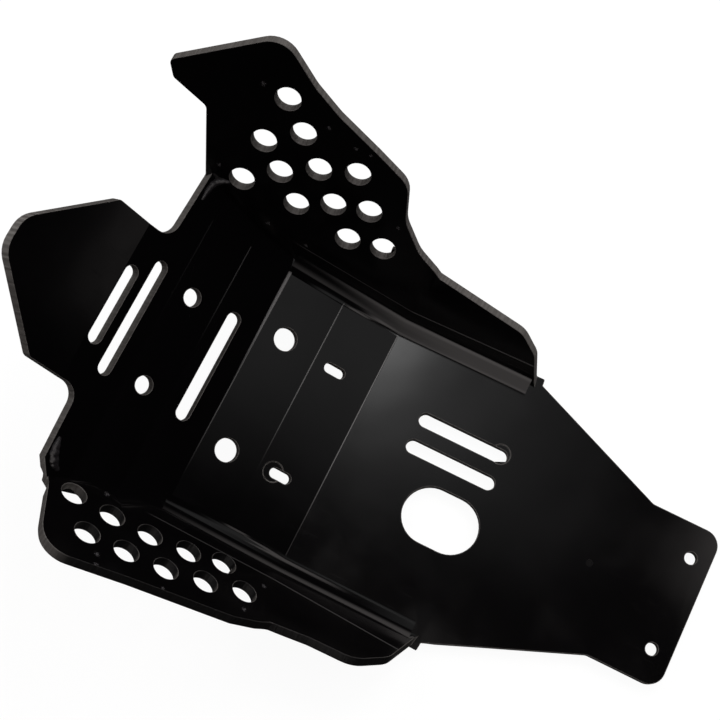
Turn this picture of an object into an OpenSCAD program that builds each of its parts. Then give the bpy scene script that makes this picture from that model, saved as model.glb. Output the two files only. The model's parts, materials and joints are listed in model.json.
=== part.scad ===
// Motorcycle skid plate, one piece: a flat plastic sheet, cut, folded and with two side wings turned up.
// Frame: +X forward, +Y to the bike's left, +Z up. The floor's underside lies on z = 0 and the origin
// is midway between the two rear bolt holes. Places on the sheet are given on the flat blank,
// as u (along the blank, from the rear bolt holes) and y; the folds carry them to their place.

/* [Sheet] */
// thickness of the sheet
sheet = 8; // [6:0.5:10]
// half width between the lines where floor and wings meet
hinge_y = 108; // [100:0.5:116]

/* [Folds across the plate] */
// place of the first fold on the blank
fold_1 = 283; // [270:1:296]
// width of the first strip
strip_1 = 51; // [46:0.5:56]
// width of the second strip
strip_2 = 49; // [44:0.5:54]
// width of the third strip
strip_3 = 39; // [35:0.5:43]
// width of the fourth strip
strip_4 = 38; // [34:0.5:42]
// width of the fifth strip
strip_5 = 45.5; // [41:0.5:49]
// turn at the first fold
turn_1 = 17; // [15:0.5:19]
// turn at the second fold
turn_2 = 3; // [2:0.5:4]
// turn at the third fold
turn_3 = 8.5; // [7:0.5:10]
// turn at the fourth fold
turn_4 = 6.5; // [5:0.5:8]
// turn at the fifth fold
turn_5 = 9.5; // [8:0.5:11]
// turn of the nose flap
turn_6 = 8; // [6:0.5:10]

/* [Wings] */
// angle that the left wing is turned up by
fold_left = 47.5; // [44:0.5:51]
// angle that the right wing is turned up by
fold_right = 55.5; // [52:0.5:59]
// slope of the wings' front panels along the hinge
wing_rise = 18.5; // [17:0.5:20]
// inner radius of the bends of the front panels
front_radius = 22; // [19.5:0.5:26]
// inner radius of the bends along the floor
rear_radius = 21; // [17:0.5:24]
// radius of the lightening holes in the wings
light_r = 9.7; // [8.5:0.1:10.5]

/* [Floor outline] */
// rear end of the tail, behind the bolt holes
tail_end = 16.5; // [14:0.5:20]
// half width of the tail
tail_half = 64.5; // [60:0.5:68]
// place where the tail starts to widen
flare_u = 43; // [38:0.5:48]
// place where the wings start
wing_start = 161; // [156:0.5:166]
// half width where the wings start
flare_half = 112; // [110:0.5:114]
// half width of the neck in front
neck_half = 65.5; // [61:0.5:68]
// half width where the nose flap narrows
flap_half = 65.7; // [62.2:0.5:68.2]
// place of the neck's shoulder on the left
shoulder_left = 486; // [482:0.5:489]
// place of the neck's shoulder on the right
shoulder_right = 482; // [479:0.5:486]
// place where the nose flap narrows
nose_start = 539; // [534:0.5:544]
// front end of the nose flap
nose_end = 600.5; // [596:0.5:606]
// half width of the nose's end, before its corners are rounded
nose_half = 13; // [10:0.5:16]

/* [Bolt holes] */
// radius of the two rear bolt holes
rear_r = 5; // [4.25:0.05:5.5]
// distance between the rear bolt holes
rear_gap = 77; // [74:0.5:80]
// radius of the two middle holes
middle_r = 9.3; // [8:0.1:10]
// half distance between the middle holes
middle_y = 49; // [46:0.5:52]
// place of the middle holes
middle_u = 362; // [358:0.5:366]
// radius of the two front bolt holes
front_r = 7.1; // [6:0.1:8]
// half distance between the front bolt holes
front_y = 38; // [35:0.5:41]
// place of the front bolt holes
front_u = 444; // [441:0.5:447]

/* [Slots] */
// width of the drain slots
slot_w = 11.5; // [10:0.1:12.5]
// length of the two slots along the floor
long_l = 76.5; // [72:0.5:80]
// place of the slots along the floor
long_u = 200; // [196:0.5:204]
// side place of the inner slot along the floor
long_in_y = -21.7; // [-24:0.1:-20]
// side place of the outer slot along the floor
long_out_y = -45; // [-47:0.1:-43]
// length of the small slots
small_l = 18; // [16:0.5:20]
// width of the small slots
small_w = 8.3; // [7:0.1:9.5]
// place of the small slots
small_u = 315.5; // [312:0.5:319]
// half distance between the small slots
small_y = 46.7; // [44:0.1:49]
// place of the rear slot across the front
cross_1_u = 406; // [403:0.5:409]
// length of the rear slot across the front
cross_1_l = 93; // [88:0.5:97]
// place of the middle slot across the front
cross_2_u = 479; // [477:0.5:480]
// length of the middle slot across the front
cross_2_l = 96; // [92:0.5:100]
// place of the front slot across the front
cross_3_u = 498.8; // [497.5:0.1:499.1]
// length of the front slot across the front
cross_3_l = 65; // [61:0.5:69]
// place of the big oil drain opening
oil_u = 188; // [184:0.5:192]
// side place of the big oil drain opening
oil_y = 21.4; // [19:0.1:24]
// length of the big oil drain opening
oil_l = 62.5; // [58:0.5:66]
// width of the big oil drain opening
oil_w = 45.8; // [42:0.1:49]

/* [Marks] */
// radius of the small blind mark in the tail
dot_r = 2.8; // [2:0.1:3.5]
// depth of the small blind mark in the tail
dot_deep = 1.2; // [0.6:0.1:2]
// radius of the milled rings beside the slots
ring_r = 8; // [6.5:0.1:9]
// depth of the milled rings
ring_deep = 0.5; // [0.3:0.1:1]

/* [Hidden] */
$fn = 64;
big = 500;
// play of the trim at the front corners
trim = 0.6;
// overlap of two strips at their fold
lap = 0.5;
// the folds: places on the blank, slopes and the points where the upper faces meet
turns = [0, turn_1, turn_2, turn_3, turn_4, turn_5, turn_6];
us = [0, fold_1, fold_1 + strip_1, fold_1 + strip_1 + strip_2, fold_1 + strip_1 + strip_2 + strip_3,
      fold_1 + strip_1 + strip_2 + strip_3 + strip_4, fold_1 + strip_1 + strip_2 + strip_3 + strip_4 + strip_5];
function slope(k) = k == 0 ? 0 : slope(k - 1) + turns[k];
function crest(k) = k == 0 ? [0, sheet] :
    crest(k - 1) + (us[k] - us[k - 1]) * [cos(slope(k - 1)), sin(slope(k - 1))];
// the same fold on the lower face, along the line that halves the angle
function sole(k) = let (m = slope(k) - turns[k] / 2) crest(k) + sheet / cos(turns[k] / 2) * [sin(m), -cos(m)];
rear_u = -30;
front_u_end = nose_end + 10;
last = len(us) - 1;

// outlines with rounded corners: each point is [x, y, radius]
function unit(v) = v / norm(v);
function corner(a, b, c, r) = let (p = unit(a - b), q = unit(c - b), h = acos(p * q) / 2,
    m = b + unit(p + q) * r / sin(h), s = b + p * r / tan(h) - m, e = b + q * r / tan(h) - m,
    a0 = atan2(s.y, s.x), d = atan2(e.y, e.x) - a0, w = d > 180 ? d - 360 : d < -180 ? d + 360 : d,
    n = max(2, ceil(abs(w) / 10))) [for (i = [0:n]) m + r * [cos(a0 + w * i / n), sin(a0 + w * i / n)]];
function flat(p) = [p.x, p.y];
function rounded(p) = let (n = len(p)) [for (i = [0:n - 1])
    each p[i][2] == 0 ? [flat(p[i])] : corner(flat(p[(i + n - 1) % n]), flat(p[i]), flat(p[(i + 1) % n]), p[i][2])];

// a slot: two half circles and the straight part between them
module slot(length, width) {
    square([length - width, width], center = true);
    for (s = [-1, 1]) translate([s * (length - width) / 2, 0]) circle(d = width);
}

// the blank's outline: tail, flare, strips, shoulders and nose flap
floor_outline = [
    [-tail_end, tail_half, 13], [-tail_end, -tail_half, 13], [flare_u, -tail_half, 8],
    [wing_start, -flare_half, 0], [wing_start + 4, -150, 0], [shoulder_right - 2, -150, 0],
    [shoulder_right + 2, -neck_half, 13], [nose_start, -flap_half, 6], [nose_end, -nose_half, 20],
    [nose_end, nose_half, 20], [nose_start, flap_half, 6], [shoulder_left + 3, neck_half, 13],
    [shoulder_left - 1, 150, 0], [wing_start + 4, 150, 0], [wing_start, flare_half, 0], [flare_u, tail_half, 8]];

module floor_holes() {
    for (s = [-1, 1]) {
        translate([0, s * rear_gap / 2]) circle(r = rear_r);
        translate([middle_u, s * middle_y]) circle(r = middle_r);
        translate([front_u, s * front_y]) circle(r = front_r);
        translate([small_u, s * small_y]) slot(small_l, small_w);
    }
    translate([long_u, long_in_y]) slot(long_l, slot_w);
    translate([long_u, long_out_y]) slot(long_l, slot_w);
    translate([oil_u, oil_y]) slot(oil_l, oil_w);
    translate([cross_1_u, 0]) rotate(90) slot(cross_1_l, slot_w);
    translate([cross_2_u, 0]) rotate(90) slot(cross_2_l, slot_w);
    translate([cross_3_u, 0]) rotate(90) slot(cross_3_l, slot_w);
}

module blank() {
    difference() {
        polygon(rounded(floor_outline));
        floor_holes();
    }
}

// carries a shape from the blank's upper face to the upper face of strip k
module on_strip(k) {
    translate([crest(k).x, 0, crest(k).y]) rotate([0, -slope(k), 0]) translate([-us[k], 0, 0]) children();
}

// side view of strip k, from one fold to the next; inside the sheet it reaches a little past the folds
function along(k, length) = length * [cos(slope(k)), sin(slope(k))];
module strip_side(k) {
    a = k == 0 ? [rear_u, sheet] : crest(k) - along(k, lap);
    b = k == 0 ? [rear_u, 0] : sole(k);
    c = crest(k) + along(k, k == last ? front_u_end - us[k] : us[k + 1] - us[k] + lap);
    d = k == last ? c + sheet * [sin(slope(k)), -cos(slope(k))] : sole(k + 1);
    rotate([90, 0, 0]) linear_extrude(2 * big, center = true) polygon([a, c, d, b]);
}

module strip(k) {
    intersection() {
        strip_side(k);
        on_strip(k) translate([0, 0, -sheet - 1]) linear_extrude(sheet + 2) blank();
    }
}

// the wings stand on two hinge lines: the rear part on the floor, the front part on the sloped strips
module at_hinge(tilt) {
    translate([crest(1).x, hinge_y, sheet]) rotate([0, -tilt, 0]) children();
}
// everything on the inner side of both parts of a wing, starting some depth behind their inner faces
module inside_wing(fold, deep) {
    intersection() {
        at_hinge(0) rotate([fold, 0, 0]) translate([-big, -big, -deep]) cube([2 * big, 2 * big, 2 * big]);
        at_hinge(wing_rise) rotate([fold, 0, 0]) translate([-big, -big, -deep]) cube([2 * big, 2 * big, 2 * big]);
    }
}
// everything that lies above the soles of all strips
module above_soles() {
    rotate([90, 0, 0]) linear_extrude(2 * big, center = true)
        polygon(concat([[rear_u, 0]], [for (k = [1:last]) sole(k)],
            [sole(last) + 250 * [cos(slope(last)), sin(slope(last))], [rear_u, 400]]));
}
// what the strips have in front of a wing's lower front edge, behind its inner face
module corner_trim(fold, a, b) {
    at_hinge(wing_rise) rotate([fold, 0, 0]) translate([0, 0, -40]) linear_extrude(40 - trim)
        polygon([a + [trim, 0], b + [trim, 0], b + [60, 0], a + [60, 0]]);
}

// the wings' front edges end in these points, the second one inside the strips
left_foot = [200.5, 2, 0];
left_toe = [215, -40, 0];
right_foot = [195.6, 25, 0];
right_toe = [192, -40, 0];

// wing outlines in their own plane: u forward from the first fold, v up from the hinge line
left_front = [[-30, -40, 0], [-30, 61, 0], [0, 65.3, 20], [27, 75.5, 12], [108, 89.3, 30], [172, 102.5, 22],
    [180, 79, 30], [186.5, 42, 30], left_foot, left_toe];
left_rear = [[30, -40, 0], [30, 69, 0], [0, 64.8, 0], [-28, 61.2, 20], [-47, 58.4, 20], [-83, 57.5, 25],
    [-105, 38, 18], [-115.5, 6, 8], [-118.5, -3, 0], [-118.5, -40, 0]];
right_front = [[-30, -40, 0], [-30, 56.5, 0], [1, 58.8, 20], [28, 69, 30], [52, 88, 25], [68, 118.5, 20],
    [100, 128, 0], [140.2, 138.7, 40], [166, 148.8, 30], [205, 171, 20], [264.5, 103, 5], [255.5, 91, 5],
    [224.5, 84, 6], right_foot, right_toe];
right_rear = [[30, -40, 0], [30, 67, 0], [-8, 58.8, 0], [-18, 57, 0], [-90, 44.2, 18], [-106, 29, 12],
    [-114.5, 4.5, 8], [-118.5, -3, 0], [-118.5, -40, 0]];

// lightening holes, at the same places on the wing's plane
left_holes = [[148, 67.6], [117.3, 66], [85.9, 63.1], [54.7, 55.6], [23.8, 45.3],
    [167.1, 36.4], [135.6, 38.4], [104.6, 38], [73.3, 34.3], [44.6, 27.1]];
right_holes = [[178.2, 128], [154.4, 108.8], [129.7, 88.3], [104.8, 67.1], [79.5, 45.4],
    [103.9, 103.4], [79.6, 79], [52.9, 55], [175.4, 84.6], [152.4, 67.5], [127.9, 49.1], [172.7, 42.8]];

module wing_sheet(fold, outline, holes) {
    rotate([fold, 0, 0]) translate([0, 0, -sheet - 2]) linear_extrude(sheet + 4) difference() {
        polygon(rounded(outline));
        for (h = holes) translate(h) circle(r = light_r);
    }
}

// the round inside of a bend
module bend_inside(fold, length, radius) {
    d = radius * tan(fold / 2);
    h = sheet / 2;
    rotate([90, 0, 90]) linear_extrude(length) difference() {
        polygon([[-d, 0], [-d, -h], [h * tan(fold / 2), -h],
            [d * cos(fold) + h * sin(fold), d * sin(fold) - h * cos(fold)], [d * cos(fold), d * sin(fold)]]);
        translate([-d, radius]) circle(r = radius, $fn = 180);
    }
}
// the corner that a bend takes off the outside, as one flat between two that carry on the panels
module bend_outside(fold, length, radius) {
    d = radius * tan(fold / 2);
    far = sheet + 12;
    r = radius + sheet;
    t = r * tan(fold / 6);
    rotate([90, 0, 90]) linear_extrude(length)
        polygon([[-d + t, -sheet], [-d + t, -far], [far * tan(fold / 2), -far],
            [d * cos(fold) + far * sin(fold), d * sin(fold) - far * cos(fold)],
            [(d - t) * cos(fold) + sheet * sin(fold), (d - t) * sin(fold) - sheet * cos(fold)],
            [-d + r / cos(fold / 6) * sin(fold / 2), radius - r / cos(fold / 6) * cos(fold / 2)]]);
}
rear_reach = crest(1).x - wing_start - 10;
front_reach = us[3] - us[1] + 2;
module bends_inside(fold) {
    at_hinge(0) translate([-rear_reach, 0, 0]) bend_inside(fold, rear_reach + 20, rear_radius);
    at_hinge(wing_rise) translate([-20, 0, 0]) bend_inside(fold, front_reach + 20, front_radius);
}
module bends_outside(fold) {
    at_hinge(0) translate([-rear_reach - 20, 0, 0]) bend_outside(fold, rear_reach + 50, rear_radius);
    at_hinge(wing_rise) translate([-30, 0, 0]) bend_outside(fold, front_reach + 30, front_radius);
}

module wing(fold, front_outline, rear_outline, holes) {
    intersection() {
        union() {
            difference() {
                union() {
                    at_hinge(wing_rise) wing_sheet(fold, front_outline, holes);
                    at_hinge(0) wing_sheet(fold, rear_outline, []);
                }
                inside_wing(fold, 0);
            }
            bends_inside(fold);
        }
        inside_wing(fold, sheet);
        above_soles();
    }
}

module marks() {
    translate([70, 0, sheet - dot_deep]) cylinder(r = dot_r, h = dot_deep + 1);
    translate([us[0] + 168, -46.7, sheet - ring_deep]) cylinder(r = ring_r, h = ring_deep + 1);
    on_strip(1) translate([322, 46.6, -ring_deep]) cylinder(r = ring_r, h = ring_deep + 1);
}

module skid_plate() {
    color([0.05, 0.05, 0.055]) difference() {
        union() {
            difference() {
                intersection() {
                    union() for (k = [0:last]) strip(k);
                    inside_wing(fold_left, sheet);
                    mirror([0, 1, 0]) inside_wing(fold_right, sheet);
                }
                corner_trim(fold_left, flat(left_foot) - 0.7 * flat(left_toe - left_foot), flat(left_toe));
                mirror([0, 1, 0]) corner_trim(fold_right, flat(right_foot), flat(right_toe));
            }
            wing(fold_left, left_front, left_rear, left_holes);
            mirror([0, 1, 0]) wing(fold_right, right_front, right_rear, right_holes);
        }
        bends_outside(fold_left);
        mirror([0, 1, 0]) bends_outside(fold_right);
        marks();
    }
}

skid_plate();
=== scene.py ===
"""Looks of a motorcycle skid plate: one folded sheet of glossy black plastic with milled edges.

The plate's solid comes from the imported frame. On a copy of it this script opens the left wing's
last hole, trims the left front corner, breaks the edges and rounds the folds. It gives skin and
milled edges their finishes, adds the two beads of molten plastic at the front corners, and sets
the studio, the floor and the camera of the photograph. Lengths are in metres, but the tables
of folds, marks, scored lines and bead paths are in millimetres and are multiplied by MM when used.
"""

import json
import logging
import math
from dataclasses import dataclass, field
from enum import Enum

import bmesh
import bpy
from mathutils import Matrix, Vector

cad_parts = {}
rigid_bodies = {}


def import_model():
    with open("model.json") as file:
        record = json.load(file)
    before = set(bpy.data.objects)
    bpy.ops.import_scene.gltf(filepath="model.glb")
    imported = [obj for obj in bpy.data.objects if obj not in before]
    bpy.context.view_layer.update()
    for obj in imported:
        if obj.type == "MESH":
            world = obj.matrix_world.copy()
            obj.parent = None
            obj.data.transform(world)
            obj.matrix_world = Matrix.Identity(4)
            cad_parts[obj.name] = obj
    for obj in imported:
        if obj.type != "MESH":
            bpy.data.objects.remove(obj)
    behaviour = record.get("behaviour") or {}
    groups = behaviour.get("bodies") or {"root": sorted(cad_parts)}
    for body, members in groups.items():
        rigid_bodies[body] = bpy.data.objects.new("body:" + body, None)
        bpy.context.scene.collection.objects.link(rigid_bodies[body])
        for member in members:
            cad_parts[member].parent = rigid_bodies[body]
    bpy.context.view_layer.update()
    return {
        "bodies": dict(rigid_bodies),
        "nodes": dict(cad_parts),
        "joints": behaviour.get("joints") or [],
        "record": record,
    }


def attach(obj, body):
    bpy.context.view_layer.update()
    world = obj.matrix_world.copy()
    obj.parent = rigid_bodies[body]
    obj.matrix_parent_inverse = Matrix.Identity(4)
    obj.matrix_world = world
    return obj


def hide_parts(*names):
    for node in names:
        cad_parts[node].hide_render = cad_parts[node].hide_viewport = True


log = logging.getLogger("skid_plate")

MM = 0.001
NODE = "skid_plate"
BODY = "root"

WARM = (1.0, 0.93, 0.91)
ZENITH = Vector((0.0, 0.0, 1.0))
RIGHT_BEND = Vector((0.0, 1.0, 1.0))
LEFT_BEND = Vector((0.0, -1.0, 1.0))
NOSE = Vector((-0.978, -0.205, 0.03))
FRONT = Vector((1.0, 0.0, 0.35))
PLATE_MIDDLE = Vector((0.25, 0.0, 0.05))

RIGHT_BEAD = (
    (455.5, -106.0, 92.0),
    (455.4, -111.7, 92.2),
    (454.9, -116.8, 91.8),
    (453.8, -121.0, 91.0),
    (451.5, -124.2, 90.6),
    (447.9, -126.0, 91.2),
    (444.0, -127.0, 91.0),
)
LEFT_BEAD = (
    (460.0, 103.5, 96.3),
    (459.6, 108.0, 95.9),
    (459.0, 112.5, 95.2),
    (457.0, 117.5, 93.2),
    (455.0, 121.0, 91.0),
    (452.0, 123.0, 88.4),
)


def mesh_object(name: str, shape: bmesh.types.BMesh) -> bpy.types.Object:
    """Turn a shape into an object of the scene.

    Args:
        name: name of the object and of its mesh.
        shape: the shape, which is freed.

    Returns:
        The object.
    """
    mesh = bpy.data.meshes.new(name)
    shape.to_mesh(mesh)
    shape.free()
    made = bpy.data.objects.new(name, mesh)
    bpy.context.scene.collection.objects.link(made)
    return made


def mm_path(points: tuple[tuple[float, float, float], ...]) -> tuple[Vector, ...]:
    """Points in millimetres as places in metres."""
    return tuple(Vector(p) * MM for p in points)


class Side(Enum):
    """Which side of the bike a wing stands on, as the sign of its y."""

    LEFT = 1
    RIGHT = -1


class Zone(Enum):
    """The flat parts of the plate, as the numbers that the finishes read."""

    STRIPS = 0
    RIGHT_FRONT = 1
    RIGHT_REAR = 2
    LEFT_FRONT = 3
    LEFT_REAR = 4


class Finish(Enum):
    """Material slots of the dressed plate."""

    SKIN = 0
    EDGE = 1


@dataclass(frozen=True)
class FoldedSheet:
    """The row of strips that the floor is folded into, in millimetres and degrees."""

    thickness: float = 8.0
    fold_places: tuple[float, ...] = (0.0, 283.0, 334.0, 383.0, 422.0, 460.0, 505.5)
    fold_turns: tuple[float, ...] = (0.0, 17.0, 3.0, 8.5, 6.5, 9.5, 8.0)

    def slope(self, strip: int) -> float:
        """Slope of a strip in radians."""
        return math.radians(sum(self.fold_turns[: strip + 1]))

    def crest(self, strip: int) -> Vector:
        """Find where a strip's upper face starts.

        Args:
            strip: the strip's number, counted from the tail.

        Returns:
            The point (x, 0, z) in metres.
        """
        point = Vector((0.0, 0.0, self.thickness * MM))
        for k in range(strip):
            run = (self.fold_places[k + 1] - self.fold_places[k]) * MM
            point += run * Vector((math.cos(self.slope(k)), 0.0, math.sin(self.slope(k))))
        return point

    def strip_at(self, x: float) -> int:
        """Number of the strip above or below a place along the bike."""
        return max(k for k in range(len(self.fold_places)) if k == 0 or x >= self.crest(k).x)

    def frame(self, strip: int) -> Matrix:
        """Find a strip's own plane.

        Args:
            strip: the strip's number, counted from the tail.

        Returns:
            The matrix that turns world places into (along, across, height above the skin).
        """
        a = self.slope(strip)
        along = Vector((math.cos(a), 0.0, math.sin(a)))
        up = Vector((-math.sin(a), 0.0, math.cos(a)))
        start = Vector((self.fold_places[strip] * MM, 0.0, 0.0))
        rows = Matrix((along, Vector((0.0, 1.0, 0.0)), up))
        return Matrix.Translation(start) @ rows.to_4x4() @ Matrix.Translation(-self.crest(strip))


@dataclass(frozen=True)
class WingPanel:
    """One flat panel of a wing, standing on its hinge line."""

    zone: Zone
    side: Side
    fold: float
    rise: float
    hinge: Vector

    def frame(self) -> Matrix:
        """Find the panel's own plane.

        Returns:
            The matrix that turns world places into (forward from the first fold, up the panel,
            height above its skin).
        """
        s = self.side.value
        turned = Matrix.Rotation(math.radians(-self.rise), 3, "Y") @ Matrix.Rotation(
            math.radians(self.fold * s), 3, "X"
        )
        forward = turned @ Vector((1.0, 0.0, 0.0))
        up = turned @ Vector((0.0, float(s), 0.0))
        inward = turned @ Vector((0.0, 0.0, 1.0))
        return Matrix((forward, up, inward)).to_4x4() @ Matrix.Translation(-self.hinge)


@dataclass(frozen=True)
class Mark:
    """A small scuff on a wing: place in the panel's own plane and radius, in millimetres."""

    zone: Zone
    forward: float
    up: float
    radius: float


@dataclass
class NodeBuilder:
    """Short ways to place and join shader nodes in one tree."""

    tree: bpy.types.NodeTree

    def add(self, kind: str, **settings: object) -> bpy.types.Node:
        """Add a node.

        Args:
            kind: the node's type.
            settings: properties of the node, set by name.

        Returns:
            The new node.
        """
        node = self.tree.nodes.new(kind)
        for name, value in settings.items():
            setattr(node, name, value)
        return node

    def feed(self, socket: bpy.types.NodeSocket, value: object) -> None:
        """Link a socket to another one, or set its value.

        Args:
            socket: the input to feed.
            value: another socket, or a plain value.
        """
        if isinstance(value, bpy.types.NodeSocket):
            self.tree.links.new(value, socket)
        else:
            socket.default_value = value

    def math(self, operation: str, *values: object, clamp: bool = False) -> bpy.types.NodeSocket:
        """Place a Math node.

        Args:
            operation: the node's operation.
            values: one to three sockets or numbers.
            clamp: whether the result stays between 0 and 1.

        Returns:
            The result's socket.
        """
        node = self.add("ShaderNodeMath", operation=operation, use_clamp=clamp)
        for socket, value in zip(node.inputs, values):
            self.feed(socket, value)
        return node.outputs[0]

    def vector_math(self, operation: str, *values: object) -> bpy.types.Node:
        """Place a Vector Math node.

        Args:
            operation: the node's operation.
            values: what its first inputs are fed with.

        Returns:
            The node, because some operations give a vector and some a value.
        """
        node = self.add("ShaderNodeVectorMath", operation=operation)
        for socket, value in zip(node.inputs, values):
            self.feed(socket, value)
        return node

    def smooth_step(self, value: object, low: float, high: float) -> bpy.types.NodeSocket:
        """Rise smoothly from 0 to 1.

        Args:
            value: socket of the value to judge.
            low: where the result is 0; it may be the larger number.
            high: where the result is 1.

        Returns:
            The result's socket.
        """
        node = self.add("ShaderNodeMapRange", interpolation_type="SMOOTHSTEP")
        falling = low > high
        pairs = {"Value": value, "From Min": min(low, high), "From Max": max(low, high)}
        pairs |= {"To Min": 1.0 if falling else 0.0, "To Max": 0.0 if falling else 1.0}
        for name, number in pairs.items():
            self.feed(node.inputs[name], number)
        return node.outputs["Result"]

    def mix(self, factor: object, low: object, high: object) -> bpy.types.NodeSocket:
        """Mix two colours.

        Args:
            factor: share of the second colour.
            low: the first colour.
            high: the second colour.

        Returns:
            The mixed colour's socket.
        """
        node = self.add("ShaderNodeMix", data_type="RGBA")
        for name, value in (("Factor_Float", factor), ("A_Color", low), ("B_Color", high)):
            self.feed(next(s for s in node.inputs if s.identifier == name), value)
        return next(s for s in node.outputs if s.identifier == "Result_Color")

    def noise(self, place: object, scale: float, detail: float) -> bpy.types.NodeSocket:
        """Place a noise texture.

        Args:
            place: socket of the place.
            scale: waves per metre.
            detail: number of finer layers.

        Returns:
            The noise value's socket.
        """
        node = self.add("ShaderNodeTexNoise")
        self.feed(node.inputs["Vector"], place)
        self.feed(node.inputs["Scale"], scale)
        self.feed(node.inputs["Detail"], detail)
        return node.outputs["Fac"]

    def group(self, tree: bpy.types.NodeTree, **values: object) -> bpy.types.Node:
        """Place a node group and feed its named inputs.

        Args:
            tree: the group.
            values: what its inputs are fed with, by name, with an underscore for a space.

        Returns:
            The group's node.
        """
        node = self.add("ShaderNodeGroup", node_tree=tree)
        for name, value in values.items():
            self.feed(node.inputs[name.replace("_", " ")], value)
        return node


@dataclass
class SurfaceBuilder(NodeBuilder):
    """Shader nodes of one finish, with what the finish reads from the plate's mesh."""

    shader: bpy.types.Node = field(init=False)
    place: bpy.types.NodeSocket = field(init=False)
    zone: bpy.types.NodeSocket = field(init=False)
    forward: bpy.types.NodeSocket = field(init=False)
    up: bpy.types.NodeSocket = field(init=False)

    def __post_init__(self) -> None:
        """Place the nodes that read the mesh."""
        self.shader = self.tree.nodes["Principled BSDF"]
        self.place = self.attribute("place", "Vector")
        self.zone = self.attribute("zone", "Fac")
        split = self.add("ShaderNodeSeparateXYZ")
        self.feed(split.inputs[0], self.place)
        self.forward = split.outputs["X"]
        self.up = split.outputs["Y"]

    def attribute(self, name: str, output: str) -> bpy.types.NodeSocket:
        """Read an attribute of the mesh."""
        return self.add("ShaderNodeAttribute", attribute_name=name).outputs[output]

    def on_part(self, mask: bpy.types.NodeTree, part: Zone) -> bpy.types.NodeSocket:
        """Mask of one flat part of the plate."""
        return self.group(mask, Zone=self.zone, Wanted=float(part.value)).outputs[0]

    def bump(self, height: bpy.types.NodeSocket, strength: float, relief: float) -> None:
        """Let a height change the shading.

        Args:
            height: socket of the height.
            strength: share of the effect.
            relief: what a height of 1 stands for, in metres.
        """
        node = self.add("ShaderNodeBump")
        node.inputs["Strength"].default_value = strength
        node.inputs["Distance"].default_value = relief
        self.feed(node.inputs["Height"], height)
        self.feed(self.shader.inputs["Normal"], node.outputs[0])


def new_group(
    name: str, inputs: dict[str, tuple[str, object]], outputs: dict[str, str]
) -> tuple[NodeBuilder, dict[str, bpy.types.NodeSocket], bpy.types.Node]:
    """Start a shader node group.

    Args:
        name: the group's name.
        inputs: socket type and default value of each input.
        outputs: socket type of each output.

    Returns:
        The builder of its tree, its input sockets by name, and its output node.
    """
    tree = bpy.data.node_groups.new(name, "ShaderNodeTree")
    for label, (kind, value) in inputs.items():
        socket = tree.interface.new_socket(label, in_out="INPUT", socket_type=kind)
        socket.default_value = value
    for label, kind in outputs.items():
        tree.interface.new_socket(label, in_out="OUTPUT", socket_type=kind)
    nodes = NodeBuilder(tree)
    start = nodes.add("NodeGroupInput")
    end = nodes.add("NodeGroupOutput")
    return nodes, {s.name: s for s in start.outputs if s.name}, end


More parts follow.
